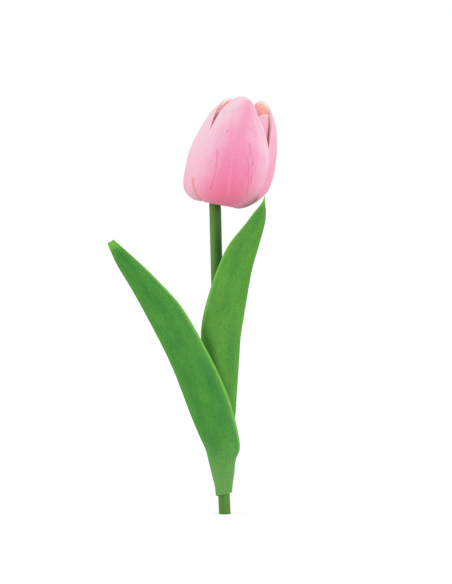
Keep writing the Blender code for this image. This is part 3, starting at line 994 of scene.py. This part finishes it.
# Leaves
# Two leaves are stamped from green foam sheet and moulded to a trough. Each foot is wrapped round the stem
# and glued, the rear leaf's first and the front leaf's over it, and the blades lean out from there.
LEAF_THICKNESS = 0.0011
LEAF_RING = COATING_RADIUS + 0.0003 + LEAF_THICKNESS
LEAF_GRID = (30, 150)
FRONT_LEAF = (
    (10.8, 0, 0, 0, 125),
    (16, 0, 0.4, 0.4, 120),
    (23, -0.1, 1.8, 1.8, 110),
    (31, -0.4, 3.2, 3.0, 92),
    (37, 0.2, 5.1, 4.0, 75),
    (44, -1.3, 6.4, 5.2, 58),
    (57, -4.9, 7.6, 7.2, 42),
    (70, -8.9, 8.0, 9.0, 36),
    (85, -14.6, 7.6, 11.0, 32),
    (102, -22.6, 7.2, 13.2, 30),
    (120, -32.2, 6.5, 15.5, 28),
    (132, -40.6, 4.5, 17.0, 26),
    (142, -48.3, 2.5, 18.2, 24),
    (149.5, -54.0, 0.1, 19.1, 20),
    (154.6, -57.7, -1.8, 19.7, 16),
    (157.0, -59.1, -3.2, 20.0, 12),
)
REAR_LEAF = (
    (23, 0, 0, 0, 125),
    (33, 0, 0.2, 0.1, 115),
    (45, 0.3, 1.0, 0.6, 92),
    (57, 1.4, 2.1, 1.4, 68),
    (70, 1.3, 3.5, 2.8, 55),
    (85, 1.1, 5.2, 4.8, 44),
    (102, 1.3, 6.6, 7.0, 38),
    (113, 3.0, 6.9, 8.6, 34),
    (123, 5.3, 6.5, 10.0, 31),
    (140, 10.1, 5.2, 12.5, 28),
    (154, 15.7, 3.9, 14.5, 25),
    (166, 22.4, 0.7, 16.5, 22),
    (172, 25.1, -1.3, 17.5, 18),
    (178, 27.4, -4.0, 18.4, 14),
    (181.6, 28.0, -4.6, 19.0, 10),
)
# Each leaf: its stations, its hinge's height in metres, and how far its foot's left and right corners and
# its tip's left and right corners lie above the first and the last station, in millimetres.
LEAVES = {
    "rear": (REAR_LEAF, 0.104, (0.0, 0.0), (-1.2, 0.0)),
    "front": (FRONT_LEAF, 0.044, (-0.9, 2.4), (-2.0, 0.0)),
}
# Where a leaf's colours change: the margin in shares of the half width, the painted highlight along the lit
# side's rim in shares of the width, and the painted highlight along the tip's rim and the pale foot in shares
# of the length.
LEAF_MARGIN = (0.6, 1.0)
LEAF_RIM_HIGHLIGHT = (0.91, 0.96)
LEAF_TIP_HIGHLIGHT = (0.955, 0.99)
LEAF_FOOT = (0.06, 0.26)


def leaf_point(stations, height, share):
    """A point on a leaf's front face at a height and a share of its width from the left."""
    middle, half, stand_off, wrap = flow(stations, height / MM)
    angle = math.radians(wrap)
    radius = (LEAF_RING + half * MM) / math.sin(min(angle, math.pi / 2))
    axis = stem_axis(height)
    turn = angle * (2 * share - 1)
    y = radius - LEAF_RING - stand_off * MM - radius * math.cos(turn)
    return Vector((axis.x + middle * MM + radius * math.sin(turn), y, height))


def leaf_skin(name, greens, highlight_side):
    """Green sprayed foam with long dark patches, paler margins, a painted highlight along one side's rim and
    the tip's, and a pale foot.
    """
    look = finish_named(name, greens[1][1], 0.6, Specular_IOR_Level=0.2)
    place = node(look, "UVMap", uv_map="UVMap")
    across = node(look, "SeparateXYZ", {0: place})
    along = across.node.outputs["Y"]
    from_middle = calc(look, "ABSOLUTE", calc(look, "MULTIPLY_ADD", across, 2.0, -1.0))
    patches = grain(look, 1.0, detail=4, stretch=(3.2, 8, 1), vector=place)
    veins = grain(look, 1.0, detail=2, stretch=(46, 2.4, 1), vector=place)
    specks = grain(look, 900, detail=2)
    patchy = calc(look, "MULTIPLY_ADD", patches, 0.85, -0.02)
    color = ramp(look, calc(look, "MULTIPLY_ADD", veins, 0.25, patchy), greens)
    margin = between(look, from_middle, *LEAF_MARGIN, 0.0, 0.4)
    color = mixed(look, margin, color, paint(104, 170, 66))
    # Painted highlight: a bright green along the rim of the leaf's lit side and of its tip.
    highlight_place = across if highlight_side == "right" else calc(look, "SUBTRACT", 1.0, across)
    rim_highlight = calc(look, "MAXIMUM", between(look, highlight_place, *LEAF_RIM_HIGHLIGHT), between(look, along, *LEAF_TIP_HIGHLIGHT))
    color = mixed(look, calc(look, "MULTIPLY", rim_highlight, 0.9), color, paint(120, 192, 76))
    foot = between(look, along, *LEAF_FOOT, 0.75, 0.0)
    color = mixed(look, foot, color, paint(112, 168, 86))
    speck_tint = ramp(look, specks, ((0.3, (206, 222, 208)), (0.5, (250, 252, 250)), (0.65, (255, 255, 255))))
    set_on(look, "Base Color", mixed(look, 0.7, color, speck_tint, "MULTIPLY"))
    set_on(look, "Roughness", between(look, patches, 0.2, 0.8, 0.5, 0.62))
    pores = grain(look, 2600, detail=2)
    relief = calc(look, "MULTIPLY_ADD", veins, 2.0, calc(look, "MULTIPLY_ADD", specks, 0.5, pores))
    emboss(look, relief, 0.25, 0.00015)
    return look


FRONT_GREENS = ((0.3, (54, 130, 52)), (0.48, (68, 143, 56)), (0.62, (78, 151, 58)), (0.8, (94, 162, 64)))
REAR_GREENS = ((0.3, (72, 144, 56)), (0.48, (86, 153, 58)), (0.62, (95, 161, 60)), (0.8, (108, 171, 66)))
# The rear leaf's painted rim highlight lies on its left side, the front leaf's on its right.
leaf_looks = {
    "rear": leaf_skin("rear leaf skin", REAR_GREENS, "left"),
    "front": leaf_skin("front leaf skin", FRONT_GREENS, "right"),
}
LEAF_EDGE_TINTS = ((0.0, (244, 250, 244)), (1.0, (255, 255, 255)))
leaf_edge = cut_foam("leaf cut edge", (124, 192, 80), (100, 166, 62), LEAF_EDGE_TINTS)

for side, (stations, fold, foot_corners, tip_corners) in LEAVES.items():
    bottom, tip = stations[0][0], stations[-1][0]

    def surface(across, along):
        low = bottom + foot_corners[0] + (foot_corners[1] - foot_corners[0]) * across
        high = tip + tip_corners[0] + (tip_corners[1] - tip_corners[0]) * across
        height = (low + (high - low) * along) * MM
        point = leaf_point(stations, max(height, bottom * MM), across)
        point.z = height
        return point

    looks = (leaf_looks[side], leaf_looks[side], leaf_edge)
    leaf = foam_sheet(f"{side}_leaf_sheet", LEAF_GRID, surface, LEAF_THICKNESS, looks)
    hinge = leaf_point(stations, fold, 0.5)
    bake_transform(leaf)
    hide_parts(f"{side}_leaf_foot", f"{side}_leaf_blade")


# Studio
# A plain white floor under the stem's end, a white surround that gives most of the light, a soft lamp far off
# on each side and a little in front, and a camera level with the flower's middle.
CAMERA_PLACE = (0.00075, -1.0, 0.1275)
FRAME_HEIGHT = 0.3358
SENSOR = 36.0
FLOOR_SIZE = 8.0
FLOOR_WHITE = 0.95
FLOOR_LIFT = 0.35
SURROUND = 0.62
# Each lamp: where it shines from, its power, and the angle that its light spreads over.
LAMPS = {
    "left": ((-0.83, -0.48, 0.26), 1.13, 30),
    "right": ((0.9, -0.38, 0.2), 1.2, 24),
}

camera_data = bpy.data.cameras.new("camera")
camera_data.sensor_width = SENSOR
camera_data.lens = SENSOR * -CAMERA_PLACE[1] / FRAME_HEIGHT
camera = bpy.data.objects.new("camera", camera_data)
camera.location = CAMERA_PLACE
camera.rotation_euler = (math.radians(90), 0, 0)
bpy.context.scene.collection.objects.link(camera)
bpy.context.scene.camera = camera

for side, (shines_from, power, spread) in LAMPS.items():
    lamp_data = bpy.data.lights.new(f"{side}_lamp", "SUN")
    lamp_data.energy = power
    lamp_data.angle = math.radians(spread)
    lamp = bpy.data.objects.new(f"{side}_lamp", lamp_data)
    lamp.location = shines_from
    lamp.rotation_euler = Vector(shines_from).to_track_quat("Z", "Y").to_euler()
    bpy.context.scene.collection.objects.link(lamp)

bpy.ops.mesh.primitive_plane_add(size=FLOOR_SIZE)
floor = bpy.context.object
floor.name = "floor"
white = bpy.data.materials.new("floor white")
white.use_nodes = True
white.node_tree.nodes.clear()
matte = node(white, "BsdfDiffuse", {"Color": (FLOOR_WHITE, FLOOR_WHITE, FLOOR_WHITE, 1)})
lift = node(white, "Emission", {"Strength": FLOOR_LIFT})
lifted = node(white, "AddShader", {0: matte, 1: lift})
seen = node(white, "MixShader", {0: node(white, "LightPath", output="Is Camera Ray"), 1: matte, 2: lifted})
node(white, "OutputMaterial", {"Surface": seen}, output=None)
floor.data.materials.append(white)

surround = bpy.data.worlds.new("surround")
bpy.context.scene.world = surround
surround.use_nodes = True
rays = node(surround, "LightPath", output="Is Camera Ray").node
straight = calc(surround, "MAXIMUM", rays.outputs["Is Camera Ray"], rays.outputs["Is Glossy Ray"])
straight = calc(surround, "MAXIMUM", straight, rays.outputs["Is Transmission Ray"])
strength = calc(surround, "MULTIPLY_ADD", straight, 1 - SURROUND, SURROUND)
background = surround.node_tree.nodes["Background"]
background.inputs["Color"].default_value = (1, 1, 1, 1)
surround.node_tree.links.new(strength, background.inputs["Strength"])

bpy.context.scene.view_settings.view_transform = "Standard"
